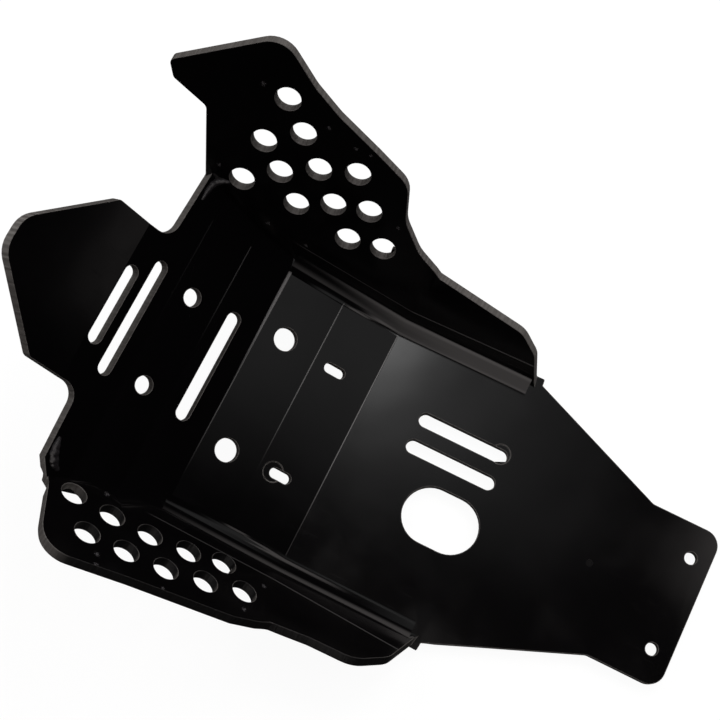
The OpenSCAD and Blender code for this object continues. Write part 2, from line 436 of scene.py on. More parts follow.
@dataclass
class SharedEffects:
    """Node groups that more than one finish uses."""

    scuff_waves: float = 900.0
    speckle_waves: float = 1700.0
    speckle_range: tuple[float, float] = (0.44, 0.60)
    cloud_waves: float = 14.0
    cloud_range: tuple[float, float] = (0.4, 0.72)
    hair_waves: float = 26.0
    hair_range: tuple[float, float] = (0.735, 0.76)
    hair_turns: tuple[tuple[float, float], ...] = ((0.5, 54.0), (2.2, 72.0))
    panel_mask: bpy.types.NodeTree = field(init=False)
    scuff: bpy.types.NodeTree = field(init=False)
    scored_line: bpy.types.NodeTree = field(init=False)
    handling: bpy.types.NodeTree = field(init=False)

    def __post_init__(self) -> None:
        """Build the groups once."""
        self.panel_mask = self.build_panel_mask()
        self.scuff = self.build_scuff()
        self.scored_line = self.build_scored_line()
        self.handling = self.build_handling()

    @staticmethod
    def build_panel_mask() -> bpy.types.NodeTree:
        """Build the mask that is 1 on one flat part of the plate and 0 elsewhere.

        Returns:
            The node group.
        """
        nodes, given, end = new_group(
            "panel_mask",
            {"Zone": ("NodeSocketFloat", 0.0), "Wanted": ("NodeSocketFloat", 0.0)},
            {"Mask": "NodeSocketFloat"},
        )
        same = nodes.math("COMPARE", given["Zone"], given["Wanted"], 0.4)
        nodes.feed(end.inputs["Mask"], same)
        return nodes.tree

    def build_scuff(self) -> bpy.types.NodeTree:
        """Build a small ragged, speckled scuff round a place in a panel's plane.

        Returns:
            The node group.
        """
        nodes, given, end = new_group(
            "scuff",
            {
                "Place": ("NodeSocketVector", (0.0, 0.0, 0.0)),
                "Centre": ("NodeSocketVector", (0.0, 0.0, 0.0)),
                "Radius": ("NodeSocketFloat", 0.003),
            },
            {"Mask": "NodeSocketFloat"},
        )
        away = nodes.vector_math("SUBTRACT", given["Place"], given["Centre"]).outputs[0]
        ragged = nodes.noise(given["Place"], self.scuff_waves, 2.0)
        reach = nodes.math("MULTIPLY", given["Radius"], nodes.math("MULTIPLY_ADD", ragged, 2.4, -0.5))
        reach = nodes.math("MAXIMUM", reach, 0.0001)
        distance = nodes.vector_math("LENGTH", away).outputs["Value"]
        share = nodes.math("DIVIDE", distance, reach)
        grain = nodes.noise(given["Place"], self.speckle_waves, 2.0)
        speckle = nodes.smooth_step(grain, *self.speckle_range)
        inside = nodes.smooth_step(share, 1.3, 0.6)
        nodes.feed(end.inputs["Mask"], nodes.math("MULTIPLY", inside, speckle))
        return nodes.tree

    @staticmethod
    def build_scored_line() -> bpy.types.NodeTree:
        """Build a fine scored line where a coordinate passes a value.

        Returns:
            The node group.
        """
        nodes, given, end = new_group(
            "scored_line",
            {
                "Across": ("NodeSocketFloat", 0.0),
                "Line": ("NodeSocketFloat", 0.0),
                "Width": ("NodeSocketFloat", 0.0005),
            },
            {"Mask": "NodeSocketFloat"},
        )
        away = nodes.math("ABSOLUTE", nodes.math("SUBTRACT", given["Across"], given["Line"]))
        share = nodes.math("DIVIDE", away, given["Width"])
        nodes.feed(end.inputs["Mask"], nodes.smooth_step(share, 1.0, 0.25))
        return nodes.tree

    def build_handling(self) -> bpy.types.NodeTree:
        """Build the faint cloudy haze and hair scratches left by handling the sheet.

        Returns:
            The node group.
        """
        nodes, given, end = new_group(
            "handling",
            {"Place": ("NodeSocketVector", (0.0, 0.0, 0.0)), "Strength": ("NodeSocketFloat", 1.0)},
            {"Haze": "NodeSocketFloat", "Scratch": "NodeSocketFloat"},
        )
        cloud = nodes.smooth_step(nodes.noise(given["Place"], self.cloud_waves, 4.0), *self.cloud_range)
        haze = nodes.math("MULTIPLY", cloud, given["Strength"])
        hairs: bpy.types.NodeSocket | None = None
        for angle, stretch in self.hair_turns:
            turn = nodes.add("ShaderNodeMapping")
            nodes.feed(turn.inputs["Vector"], given["Place"])
            nodes.feed(turn.inputs["Rotation"], (0.0, 0.0, angle))
            nodes.feed(turn.inputs["Scale"], (1.0, stretch, 1.0))
            line = nodes.smooth_step(nodes.noise(turn.outputs[0], self.hair_waves, 1.0), *self.hair_range)
            hairs = line if hairs is None else nodes.math("MAXIMUM", hairs, line)
        scratch = nodes.math("MULTIPLY", hairs, given["Strength"])
        nodes.feed(end.inputs["Haze"], haze)
        nodes.feed(end.inputs["Scratch"], scratch)
        return nodes.tree


@dataclass(frozen=True)
class GlossySkin:
    """Finish of the rolled faces of the sheet: deep black, glossy, a little hazed by handling.

    Each fold's painted highlight has its place, its strength and how far to the left it reaches. Each
    scored line, a groove with a painted highlight, has its flat part, its distance from the hinge and its
    slant.
    """

    effects: SharedEffects
    marks: tuple[Mark, ...]
    colour: tuple[float, float, float, float] = (0.0006, 0.0005, 0.0006, 1.0)
    scuff_colour: tuple[float, float, float, float] = (0.045, 0.042, 0.045, 1.0)
    # the scored lines are grooves; their lighter colour is a painted highlight
    line_highlight_colour: tuple[float, float, float, float] = (0.018, 0.017, 0.017, 1.0)
    # painted highlight: the lighter colour of the thin bright lines along the folds
    fold_highlight_colour: tuple[float, float, float, float] = (0.085, 0.082, 0.082, 1.0)
    folds: tuple[tuple[float, float, float], ...] = (
        (283.0, 1.0, 90.0),
        (334.0, 0.8, 55.0),
        (383.0, 0.6, 90.0),
        (422.0, 0.2, 0.0),
        (460.0, 0.05, 0.0),
    )
    fold_highlight_fade: float = 90.0 * MM
    blind_mark: tuple[float, float] = (70.0 * MM, 0.0 * MM)
    blind_mark_radius: float = 2.8 * MM
    blind_mark_roughness: float = 0.85
    fold_width: float = 0.6 * MM
    fold_half_length: float = 98.5 * MM
    glint_line: float = 383.8 * MM
    glint_reach: float = 94.0 * MM
    scored: tuple[tuple[Zone, float, float], ...] = (
        (Zone.RIGHT_FRONT, 15.5, 0.0),
        (Zone.RIGHT_REAR, 15.5, -0.035),
        (Zone.LEFT_FRONT, 17.0, 0.0),
        (Zone.LEFT_REAR, 17.0, -0.08),
    )
    scored_end: float = 115.0 * MM
    roughness: float = 0.09
    hazed_roughness: float = 0.14
    scuffed_roughness: float = 0.55
    scratch_roughness: float = 0.03
    refraction: float = 1.46
    waves_per_metre: float = 22.0
    wave_height: float = 0.6
    scratch_depth: float = 0.02
    scuff_depth: float = 0.5
    line_depth: float = 1.0
    bump_strength: float = 0.35
    relief: float = 0.3 * MM

    def build(self) -> bpy.types.Material:
        """Make the material.

        Returns:
            The material of both rolled faces and of the bends.
        """
        material = bpy.data.materials.new("glossy_black_skin")
        material.use_nodes = True
        nodes = SurfaceBuilder(material.node_tree)
        shader = nodes.shader
        handling = nodes.group(self.effects.handling, Place=nodes.place, Strength=1.0)
        scuffs = self.scuffs(nodes)
        lines = self.lines(nodes)

        colour = nodes.mix(scuffs, self.colour, self.scuff_colour)
        # scored grooves, painted lighter as a highlight
        colour = nodes.mix(lines, colour, self.line_highlight_colour)
        # painted highlight along the folds and one painted glint
        colour = nodes.mix(self.painted_fold_highlights(nodes), colour, self.fold_highlight_colour)
        nodes.feed(shader.inputs["Base Color"], colour)
        spread = self.hazed_roughness - self.roughness
        rough = nodes.math("MULTIPLY_ADD", handling.outputs["Haze"], spread, self.roughness)
        rough = nodes.math("MULTIPLY_ADD", handling.outputs["Scratch"], self.scratch_roughness, rough)
        scuffed = nodes.math("MULTIPLY", scuffs, self.scuffed_roughness)
        dull = nodes.math("MULTIPLY", self.mark_mask(nodes), self.blind_mark_roughness)
        rough = nodes.math("MAXIMUM", rough, nodes.math("MAXIMUM", scuffed, dull))
        nodes.feed(shader.inputs["Roughness"], rough)
        shader.inputs["IOR"].default_value = self.refraction

        waviness = nodes.noise(nodes.place, self.waves_per_metre, 1.0)
        height = nodes.math("MULTIPLY", waviness, self.wave_height)
        height = nodes.math("MULTIPLY_ADD", handling.outputs["Scratch"], -self.scratch_depth, height)
        height = nodes.math("MULTIPLY_ADD", scuffs, -self.scuff_depth, height)
        height = nodes.math("MULTIPLY_ADD", lines, -self.line_depth, height)
        nodes.bump(height, self.bump_strength, self.relief)
        return material

    def scuffs(self, nodes: SurfaceBuilder) -> bpy.types.NodeSocket:
        """Gather all scuffs on the wings.

        Args:
            nodes: builder of the material's tree.

        Returns:
            Their mask.
        """
        total: object = 0.0
        for mark in self.marks:
            spot = nodes.group(
                self.effects.scuff,
                Place=nodes.place,
                Centre=(mark.forward * MM, mark.up * MM, 0.0),
                Radius=mark.radius * MM,
            )
            here = nodes.on_part(self.effects.panel_mask, mark.zone)
            total = nodes.math("MULTIPLY_ADD", spot.outputs[0], here, total)
        return nodes.math("MINIMUM", total, 1.0)

    def mark_mask(self, nodes: SurfaceBuilder) -> bpy.types.NodeSocket:
        """Find the blind mark in the tail, whose drilled bottom is dull and so looks darker.

        Args:
            nodes: builder of the material's tree.

        Returns:
            Its mask.
        """
        flat = nodes.vector_math("MULTIPLY", nodes.place, (1.0, 1.0, 0.0)).outputs[0]
        away = nodes.vector_math("SUBTRACT", flat, (*self.blind_mark, 0.0)).outputs[0]
        distance = nodes.vector_math("LENGTH", away).outputs["Value"]
        radius = self.blind_mark_radius
        here = nodes.on_part(self.effects.panel_mask, Zone.STRIPS)
        spot = nodes.smooth_step(distance, radius * 1.05, radius * 0.95)
        return nodes.math("MULTIPLY", spot, here)

    def painted_fold_highlights(self, nodes: SurfaceBuilder) -> bpy.types.NodeSocket:
        """Gather the painted highlights along the folds, fading out towards the left side, and one painted
        glint.

        Args:
            nodes: builder of the material's tree.

        Returns:
            Their mask.
        """
        total: object = 0.0
        for place, strength, reach in self.folds:
            line = nodes.group(
                self.effects.scored_line, Across=nodes.forward, Line=place * MM, Width=self.fold_width
            )
            fading = nodes.smooth_step(nodes.up, reach * MM, reach * MM - self.fold_highlight_fade)
            shown = nodes.math("MULTIPLY", fading, strength)
            total = nodes.math("MULTIPLY_ADD", line.outputs[0], shown, total)
        here = nodes.on_part(self.effects.panel_mask, Zone.STRIPS)
        # painted glint: a wedge of highlight along one fold, widest on the right side
        wedge = nodes.smooth_step(nodes.up, 0.0, -self.glint_reach)
        glint = nodes.group(
            self.effects.scored_line,
            Across=nodes.forward,
            Line=self.glint_line,
            Width=nodes.math("MULTIPLY_ADD", wedge, 1.6 * MM, 0.2 * MM),
        )
        total = nodes.math("MULTIPLY_ADD", glint.outputs[0], nodes.math("POWER", wedge, 0.4), total)
        across = nodes.math("ABSOLUTE", nodes.up)
        inside = nodes.smooth_step(across, self.fold_half_length, self.fold_half_length - 2 * MM)
        return nodes.math("MULTIPLY", nodes.math("MULTIPLY", total, here), inside, clamp=True)

    def lines(self, nodes: SurfaceBuilder) -> bpy.types.NodeSocket:
        """Gather the scored grooves along both wings above their bends, whose colour is a painted
        highlight.

        Args:
            nodes: builder of the material's tree.

        Returns:
            Their mask.
        """
        total: object = 0.0
        for part, start, slant in self.scored:
            line = nodes.math("MULTIPLY_ADD", nodes.forward, slant, start * MM)
            scored = nodes.group(
                self.effects.scored_line, Across=nodes.up, Line=line, Width=self.fold_width
            )
            here = nodes.on_part(self.effects.panel_mask, part)
            end = nodes.smooth_step(nodes.forward, self.scored_end, self.scored_end - 15 * MM)
            kept = nodes.math("MULTIPLY", here, end)
            total = nodes.math("MULTIPLY_ADD", scored.outputs[0], kept, total)
        return nodes.math("MINIMUM", total, 1.0)


@dataclass(frozen=True)
class MilledEdge:
    """Finish of cut edges and hole walls: matt dark grey with the cutter's streaks, and painted shade on
    the left wing's outward cuts.
    """

    effects: SharedEffects
    colour: tuple[float, float, float, float] = (0.036, 0.033, 0.031, 1.0)
    streak_colour: tuple[float, float, float, float] = (0.085, 0.079, 0.075, 1.0)
    # painted shade: the near-black colour of the left wing's outward cuts
    edge_shade_colour: tuple[float, float, float, float] = (0.002, 0.0018, 0.002, 1.0)
    roughness: float = 0.38
    haze_roughness: float = 0.12
    refraction: float = 1.46
    bump_strength: float = 0.55
    relief: float = 0.4 * MM
    streaks_per_metre: float = 420.0
    streak_squash: float = 0.04
    streak_range: tuple[float, float] = (0.36, 0.68)
    streak_share: float = 0.35
    chatter_share: float = 0.55
    chatter_height: float = 1.2
    chatter_pitch: float = 4.2 * MM
    chatter_start: float = 580.0 * MM
    chatter_full: float = 594.0 * MM
    # where the painted shade on the left wing's outward cuts ends and fades, and which facing it needs
    edge_shade_end: float = 150.0 * MM
    edge_shade_fade: float = 16.0 * MM
    edge_shade_facing: tuple[float, float] = (0.1, 0.45)

    def build(self) -> bpy.types.Material:
        """Make the material.

        Returns:
            The material of the outline's edge and of the hole walls.
        """
        material = bpy.data.materials.new("milled_edge")
        material.use_nodes = True
        nodes = SurfaceBuilder(material.node_tree)
        shader = nodes.shader
        squash = nodes.add("ShaderNodeMapping")
        nodes.feed(squash.inputs["Vector"], nodes.place)
        nodes.feed(squash.inputs["Scale"], (1.0, 1.0, self.streak_squash))
        streak = nodes.noise(squash.outputs[0], self.streaks_per_metre, 3.0)
        streak = nodes.smooth_step(streak, *self.streak_range)
        handling = nodes.group(self.effects.handling, Place=nodes.place, Strength=1.0)
        chatter = self.chatter(nodes)

        pale = nodes.math("MULTIPLY", streak, self.streak_share)
        pale = nodes.math("MULTIPLY_ADD", chatter, self.chatter_share, pale)
        pale = nodes.math("MINIMUM", pale, 1.0)
        milled = nodes.mix(pale, self.colour, self.streak_colour)
        # painted shade on the left wing's outward cuts
        shaded = self.painted_edge_shade(nodes)
        nodes.feed(shader.inputs["Base Color"], nodes.mix(shaded, milled, self.edge_shade_colour))
        rough = nodes.math("MULTIPLY_ADD", handling.outputs["Haze"], self.haze_roughness, self.roughness)
        nodes.feed(shader.inputs["Roughness"], rough)
        shader.inputs["IOR"].default_value = self.refraction
        height = nodes.math("MULTIPLY_ADD", chatter, self.chatter_height, streak)
        nodes.bump(height, self.bump_strength, self.relief)
        return material

    def painted_edge_shade(self, nodes: SurfaceBuilder) -> bpy.types.NodeSocket:
        """Find the left wing's outward cuts behind its front end, where shade is painted into the colour.

        Args:
            nodes: builder of the material's tree.

        Returns:
            Their mask.
        """
        left = nodes.math("GREATER_THAN", nodes.zone, Zone.LEFT_FRONT.value - 0.5)
        fade_start = self.edge_shade_end + self.edge_shade_fade
        behind = nodes.smooth_step(nodes.forward, fade_start, self.edge_shade_end)
        outward = nodes.smooth_step(nodes.attribute("facing", "Fac"), *self.edge_shade_facing)
        return nodes.math("MULTIPLY", nodes.math("MULTIPLY", left, behind), outward)

    def chatter(self, nodes: SurfaceBuilder) -> bpy.types.NodeSocket:
        """Find the ridges that the cutter left round the nose's corner.

        Args:
            nodes: builder of the material's tree.

        Returns:
            Their mask.
        """
        turns = nodes.math("MULTIPLY", nodes.up, 2.0 * math.pi / self.chatter_pitch)
        wave = nodes.math("MULTIPLY_ADD", nodes.math("SINE", turns), 0.5, 0.5)
        near = nodes.smooth_step(nodes.forward, self.chatter_start, self.chatter_full)
        return nodes.math("MULTIPLY", wave, near)


@dataclass(frozen=True)
class Drill:
    """A straight hole through one flat part, in that part's own plane."""

    frame: Matrix
    forward: float
    up: float
    radius: float
    length: float = 40 * MM
    half_sheet: float = 4 * MM

    def build(self) -> bmesh.types.BMesh:
        """Make the cutter, a long cylinder across the sheet.

        Returns:
            The cutter's shape.
        """
        shape = bmesh.new()
        bmesh.ops.create_cone(
            shape,
            cap_ends=True,
            segments=72,
            radius1=self.radius,
            radius2=self.radius,
            depth=self.length,
        )
        middle = Vector((self.forward, self.up, -self.half_sheet))
        place = self.frame.inverted() @ Matrix.Translation(middle)
        bmesh.ops.transform(shape, matrix=place, verts=shape.verts)
        return shape


@dataclass(frozen=True)
class CornerCut:
    """A straight cut that takes a corner off a strip, in that strip's own plane."""

    frame: Matrix
    start: tuple[float, float]
    end: tuple[float, float]
    reach: float = 30 * MM
    below: float = 14 * MM
    above: float = 5 * MM

    def build(self) -> bmesh.types.BMesh:
        """Make the cutter, a block whose one side stands on the line from start to end.

        Returns:
            The cutter's shape.
        """
        shape = bmesh.new()
        bmesh.ops.create_cube(shape, size=1.0)
        start, end = Vector((*self.start, 0.0)), Vector((*self.end, 0.0))
        along = (end - start).normalized()
        outward = along.cross(ZENITH)
        turn = Matrix((along, outward, ZENITH)).transposed().to_4x4()
        size = Matrix.Diagonal(((end - start).length, self.reach, self.below + self.above, 1.0))
        middle = (start + end) / 2 + outward * self.reach / 2
        middle.z = (self.above - self.below) / 2
        place = self.frame.inverted() @ Matrix.Translation(middle) @ turn @ size
        bmesh.ops.transform(shape, matrix=place, verts=shape.verts)
        bmesh.ops.recalc_face_normals(shape, faces=shape.faces)
        return shape


@dataclass
class PlateBody:
    """The plate itself: a copy of the solid with broken edges, smooth bends and both finishes."""

    source: bpy.types.Object
    effects: SharedEffects
    sheet: FoldedSheet = field(default_factory=FoldedSheet)
    hinge_y: float = 108.0 * MM
    fold_left: float = 47.5
    fold_right: float = 55.5
    wing_rise: float = 18.5
    edge_break: float = 0.5 * MM
    fold_round: float = 0.7 * MM
    panel_reach: float = 11.0 * MM
    skin_slack: float = 0.6 * MM
    least_wall: float = 2.5 * MM
    cut_slope: float = 0.45
    last_hole: tuple[float, float] = (23.8 * MM, 45.3 * MM)
    hole_radius: float = 9.76 * MM
    corner_strip: int = 5
    left_corner: tuple[tuple[float, float], tuple[float, float]] = (
        (489.0 * MM, 116.5 * MM),
        (468.2 * MM, 142.8 * MM),
    )
    merge: float = 0.002 * MM
    flat_angle: float = math.radians(0.15)
    sharp_angle: float = math.radians(50.0)
    fold_angles: tuple[float, float] = (math.radians(2.0), math.radians(19.0))
    rim_angle: float = math.radians(60.0)
    fold_length: float = 4 * MM
    fold_miss: float = 0.05 * MM
    bevel_steps: int = 2
    marks: tuple[Mark, ...] = (
        Mark(Zone.RIGHT_FRONT, 199.0, 128.0, 2.6),
        Mark(Zone.RIGHT_FRONT, 141.9, 125.2, 2.2),
        Mark(Zone.RIGHT_FRONT, 116.7, 122.0, 2.0),
        Mark(Zone.RIGHT_FRONT, 104.6, 123.7, 1.6),
        Mark(Zone.RIGHT_FRONT, 54.1, 79.8, 2.0),
        Mark(Zone.RIGHT_FRONT, 193.1, 43.6, 2.0),
        Mark(Zone.RIGHT_FRONT, 136.6, 18.4, 2.2),
        Mark(Zone.RIGHT_FRONT, 102.2, 18.4, 1.8),
        Mark(Zone.LEFT_FRONT, 136.3, 83.4, 2.4),
        Mark(Zone.LEFT_FRONT, 134.5, 93.1, 2.0),
        Mark(Zone.LEFT_FRONT, 144.8, 19.9, 2.4),
        Mark(Zone.LEFT_FRONT, 83.8, 83.3, 1.8),
        Mark(Zone.LEFT_FRONT, 21.1, 63.2, 2.2),
        Mark(Zone.LEFT_FRONT, 9.7, 29.5, 2.0),
    )

    def panels(self) -> list[WingPanel]:
        """List the four flat panels of the wings.

        Returns:
            Front and rear panel of the right wing, then of the left one.
        """
        first_fold = self.sheet.crest(1)
        found = []
        for side, fold, front, rear in (
            (Side.RIGHT, self.fold_right, Zone.RIGHT_FRONT, Zone.RIGHT_REAR),
            (Side.LEFT, self.fold_left, Zone.LEFT_FRONT, Zone.LEFT_REAR),
        ):
            hinge = Vector((first_fold.x, side.value * self.hinge_y, first_fold.z))
            found.append(WingPanel(front, side, fold, self.wing_rise, hinge))
            found.append(WingPanel(rear, side, fold, 0.0, hinge))
        return found

    def build(self) -> bpy.types.Object:
        """Make the dressed plate.

        Returns:
            The plate's object, which stands for the CAD node.
        """
        shape = bmesh.new()
        shape.from_mesh(self.source.data)
        self.merge_points(shape)
        shape = self.cut_away(shape)
        self.join_flat_faces(shape)
        self.sort_faces(shape)
        self.round_folds(shape)
        self.break_edges(shape)
        plate = mesh_object("plate_body", shape)
        mesh = plate.data
        carried = mesh.attributes.get("custom_normal")
        if carried is not None:
            mesh.attributes.remove(carried)
        self.write_places(mesh)
        mesh.shade_smooth()
        mesh.set_sharp_from_angle(angle=self.sharp_angle)
        mesh.materials.append(GlossySkin(self.effects, self.marks).build())
        mesh.materials.append(MilledEdge(self.effects).build())
        weighted = plate.modifiers.new("even_shading", "WEIGHTED_NORMAL")
        weighted.mode = "FACE_AREA"
        weighted.weight = 100
        weighted.keep_sharp = True
        log.info("plate body: %d faces", len(mesh.polygons))
        return plate

    def merge_points(self, shape: bmesh.types.BMesh) -> None:
        """Merge points that lie on each other and drop the slivers between them."""
        bmesh.ops.remove_doubles(shape, verts=shape.verts, dist=self.merge)
        bmesh.ops.dissolve_degenerate(shape, edges=shape.edges, dist=self.merge)

    def cutters(self) -> list[bmesh.types.BMesh]:
        """Make what is cut from the solid's copy: the open last hole and the trimmed left corner.

        Returns:
            The cutters' shapes.
        """
        left_front = next(p for p in self.panels() if p.zone is Zone.LEFT_FRONT)
        hole = Drill(left_front.frame(), *self.last_hole, self.hole_radius)
        corner = CornerCut(self.sheet.frame(self.corner_strip), *self.left_corner)
        return [hole.build(), corner.build()]

    def cut_away(self, shape: bmesh.types.BMesh) -> bmesh.types.BMesh:
        """Cut the cutters out of the shape.

        Args:
            shape: the closed shape of the plate, which is freed.

        Returns:
            The shape with the cuts.
        """
        helpers = [mesh_object("cut_helper", part) for part in [shape, *self.cutters()]]
        for cutter in helpers[1:]:
            cut = helpers[0].modifiers.new("cut", "BOOLEAN")
            cut.operation = "DIFFERENCE"
            cut.solver = "EXACT"
            cut.object = cutter
        ready = helpers[0].evaluated_get(bpy.context.evaluated_depsgraph_get())
        result = bmesh.new()
        result.from_mesh(ready.to_mesh())
        ready.to_mesh_clear()
        for helper in helpers:
            mesh = helper.data
            bpy.data.objects.remove(helper)
            bpy.data.meshes.remove(mesh)
        self.merge_points(result)
        log.info("cuts made: %d", len(helpers) - 1)
        return result

    def join_flat_faces(self, shape: bmesh.types.BMesh) -> None:
        """Join the triangles of each flat face.

        Args:
            shape: the plate, made of triangles.
        """
        bmesh.ops.dissolve_limit(
            shape,
            angle_limit=self.flat_angle,
            verts=shape.verts,
            edges=shape.edges,
            use_dissolve_boundaries=False,
        )

    @staticmethod
    def height(region: list[bmesh.types.BMFace]) -> float:
        """Measure a long narrow region of faces.

        Args:
            region: the faces, joined to each other.

        Returns:
            Its mean height between its two borders.
        """
        inside = set(region)
        border = sum(
            e.calc_length() for f in region for e in f.edges if any(o not in inside for o in e.link_faces)
        )
        return 2.0 * sum(f.calc_area() for f in region) / max(border, MM)

    def flat_part(self, point: Vector) -> tuple[Zone, Matrix]:
        """Find the flat part of the plate that a point lies on.

        Args:
            point: place on or in the sheet.

        Returns:
            The part and the matrix that turns world places into its own plane.
        """
        found = (Zone.STRIPS, self.sheet.frame(self.sheet.strip_at(point.x)))
        fold = self.sheet.crest(1)
        in_rear = point.x < fold.x - math.tan(math.radians(self.wing_rise) / 2) * (point.z - fold.z)
        low, high = -self.sheet.thickness * MM - self.skin_slack, self.skin_slack
        for panel in self.panels():
            spot = panel.frame() @ point
            rear = panel.zone in (Zone.RIGHT_REAR, Zone.LEFT_REAR)
            if rear == in_rear and low < spot.z < high and spot.y > self.panel_reach:
                found = (panel.zone, panel.frame())
        return found

    def sort_faces(self, shape: bmesh.types.BMesh) -> None:
        """Give the rolled faces and bends the skin slot and the cuts across the sheet the edge slot.

        Args:
            shape: the plate, whose cut faces stand square to their flat part.
        """
        cuts = set()
        for face in shape.faces:
            _zone, frame = self.flat_part(face.calc_center_median())
            if abs((frame.to_3x3() @ face.normal).z) < self.cut_slope:
                cuts.add(face)
            face.material_index = Finish.SKIN.value
        walls = 0
        while cuts:
            region, queue = [], [cuts.pop()]
            while queue:
                face = queue.pop()
                region.append(face)
                near = {o for e in face.edges for o in e.link_faces if o in cuts}
                cuts -= near
                queue.extend(near)
            if self.height(region) > self.least_wall:
                walls += 1
                for face in region:
                    face.material_index = Finish.EDGE.value
        log.info("cut walls: %d", walls)

    def round_folds(self, shape: bmesh.types.BMesh) -> None:
        """Round the folds across the plate a little, where two strips meet.

        Args:
            shape: the plate, with its flat faces joined.
        """
        least, most = self.fold_angles
        crests = [self.sheet.crest(k) for k in range(1, len(self.sheet.fold_places))]
        folds = []
        for edge in shape.edges:
            if len(edge.link_faces) != 2 or edge.calc_length() < self.fold_length:
                continue
            if not least < edge.calc_face_angle(0.0) < most:
                continue
            ends = [v.co for v in edge.verts]
            for crest in crests:
                if all((Vector((p.x, 0.0, p.z)) - crest).length < self.fold_miss for p in ends):
                    folds.append(edge)
                    break
        log.info("folds rounded: %d edges", len(folds))
        bmesh.ops.bevel(
            shape,
            geom=folds,
            affect="EDGES",
            offset=self.fold_round,
            segments=self.bevel_steps,
            profile=0.5,
            material=-1,
            clamp_overlap=False,
        )

    def break_edges(self, shape: bmesh.types.BMesh) -> None:
        """Break the sharp edges of the outline and of every hole.

        Args:
            shape: the plate, with its faces sorted by finish.
        """
        both = {Finish.SKIN.value, Finish.EDGE.value}
        rims = [
            e
            for e in shape.edges
            if len(e.link_faces) == 2
            and e.calc_face_angle(0.0) > self.rim_angle
            and {f.material_index for f in e.link_faces} == both
        ]
        bmesh.ops.bevel(
            shape,
            geom=rims,
            affect="EDGES",
            offset=self.edge_break,
            segments=self.bevel_steps,
            profile=0.5,
            material=Finish.EDGE.value,
            clamp_overlap=False,
        )
        log.info("edges broken: %d", len(rims))

    def write_places(self, mesh: bpy.types.Mesh) -> None:
        """Write each corner's place in the plane of its flat part, that part and how a face turns.

        Args:
            mesh: the plate's mesh, which gets the attributes place, zone and facing.
        """
        places = mesh.attributes.new("place", "FLOAT_VECTOR", "CORNER")
        zones = mesh.attributes.new("zone", "FLOAT", "FACE")
        facings = mesh.attributes.new("facing", "FLOAT", "FACE")
        for face in mesh.polygons:
            zone, frame = self.flat_part(face.center)
            zones.data[face.index].value = float(zone.value)
            facings.data[face.index].value = (frame.to_3x3() @ face.normal).y
            for corner in face.loop_indices:
                point = mesh.vertices[mesh.loops[corner].vertex_index].co
                places.data[corner].vector = frame @ point


@dataclass
class WeldBead:
    """A short bead of molten plastic in a front corner, made of overlapping drops."""

    name: str
    path: tuple[Vector, ...]
    radius: float = 3.3 * MM
    flatness: float = 0.7
    drops: int = 17
    grain: float = 0.5 * MM

    def build(self, material: bpy.types.Material) -> bpy.types.Object:
        """Make the bead.

        Args:
            material: finish of the bead.

        Returns:
            The bead's object.
        """
        shape = bmesh.new()
        for i in range(self.drops):
            share = i / (self.drops - 1) * (len(self.path) - 1)
            k = min(int(share), len(self.path) - 2)
            centre = self.path[k].lerp(self.path[k + 1], share - k)
            taper = math.sin(math.pi * (i + 1.6) / (self.drops + 2.2)) ** 0.5
            size = self.radius * taper * (0.9 + 0.09 * math.sin(i * 2.1) + 0.05 * math.cos(i * 3.7))
            made = bmesh.ops.create_icosphere(shape, subdivisions=3, radius=size)
            bmesh.ops.scale(shape, vec=(1.0, 1.0, self.flatness), verts=made["verts"])
            bmesh.ops.translate(shape, vec=centre, verts=made["verts"])
        bead = mesh_object(self.name, shape)
        bead.data.materials.append(material)
        remesh = bead.modifiers.new("melted_together", "REMESH")
        remesh.mode = "VOXEL"
        remesh.voxel_size = self.grain
        remesh.use_smooth_shade = True
        smooth = bead.modifiers.new("surface_tension", "SMOOTH")
        smooth.factor = 0.6
        smooth.iterations = 6
        log.info("weld bead %s: %d drops", self.name, self.drops)
        return bead


@dataclass
class SoftBox:
    """One soft light of the studio as the glossy sheet mirrors it.

    Its ranges are on the plane one unit away along the axis, x forward and y to the left. Beyond
    each end of a range the light fades over the width given for that end.
    """

    name: str
    axis: Vector
    x: tuple[float, float]
    y: tuple[float, float]
    fade_x: tuple[float, float]
    fade_y: tuple[float, float]
    strength: float
    colour: tuple[float, float, float] = (1.0, 1.0, 1.0)

    def axes(self) -> tuple[Vector, Vector, Vector]:
        """Find the light's directions.

        Returns:
            Its axis and the two directions of its plane.
        """
        axis = self.axis.normalized()
        near = Vector((0.0, 1.0, 0.0)) if abs(axis.x) > 0.9 else Vector((1.0, 0.0, 0.0))
        first = (near - near.dot(axis) * axis).normalized()
        second = axis.cross(first)
        return axis, first, second


@dataclass(frozen=True)
class Lamp:
    """A broad lamp that no surface mirrors, aimed at the plate's middle."""

    name: str
    place: Vector
    power: float
    size: float = 1.0
    aim: Vector = field(default_factory=PLATE_MIDDLE.copy)

    def build(self) -> bpy.types.Object:
        """Set up the lamp.

        Returns:
            The lamp's object.
        """
        data = bpy.data.lights.new(self.name, "AREA")
        data.shape = "SQUARE"
        data.size = self.size
        data.energy = self.power
        lamp = bpy.data.objects.new(self.name, data)
        lamp.location = self.place
        lamp.rotation_euler = (self.aim - self.place).to_track_quat("-Z", "Y").to_euler()
        lamp.visible_glossy = False
        bpy.context.scene.collection.objects.link(lamp)
        log.info("lamp %s: %.0f W", self.name, self.power)
        return lamp


